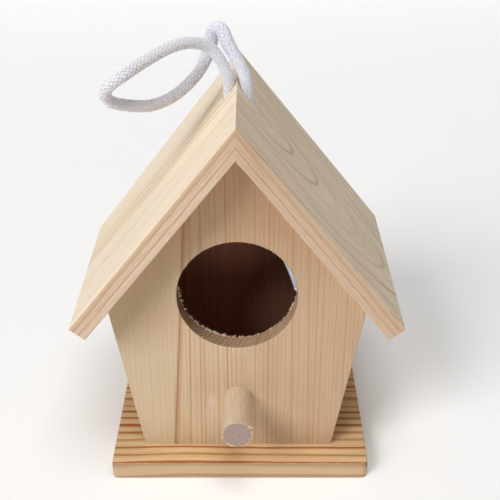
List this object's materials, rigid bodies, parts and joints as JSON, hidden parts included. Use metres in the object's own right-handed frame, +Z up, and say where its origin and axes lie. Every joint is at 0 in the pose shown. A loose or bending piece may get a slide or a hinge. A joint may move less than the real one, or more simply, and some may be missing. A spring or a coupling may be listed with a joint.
{
  "type": "birdhouse",
  "caption": "Small pitched-roof birdhouse of bare pine boards with flared walls, a round entrance, a dowel perch, a wider base and a white hanging cord loop through the ridge.",
  "frame": {"origin": "middle of the base board's underside, on the surface it stands on, midway between the front and back walls' outer faces and 0.7 mm left of the base's own middle line", "axes": "+Z up, the entrance and perch face -Y, +X to a viewer's right who looks at the entrance"},
  "size_m": [0.1036, 0.0891, 0.1438],
  "materials": {
    "pine_base": "bare sawn pine with strong orange-brown growth rings along the width",
    "pine_front": "bare pine, fine upright grain",
    "pine_walls": "bare pine, upright grain",
    "pine_roof": "bare pale pine, grain down the slope",
    "birch_dowel": "smooth bare dowel, darker end grain",
    "pin_steel": "headless steel pins",
    "cotton_cord": "white braided cotton cord"
  },
  "bodies": {
    "root": {"base_board": "pine_base", "front_wall": "pine_front", "back_wall": "pine_walls", "left_wall": "pine_walls", "right_wall": "pine_walls", "left_roof_board": "pine_roof", "right_roof_board": "pine_roof", "perch_dowel": "birch_dowel", "base_pins": "pin_steel", "left_roof_pins": "pin_steel", "right_roof_pins": "pin_steel", "hanging_cord": "cotton_cord", "cord_knot": "cotton_cord", "right_cord_tail": "cotton_cord", "left_cord_tail": "cotton_cord"}
  },
  "joints": []
}
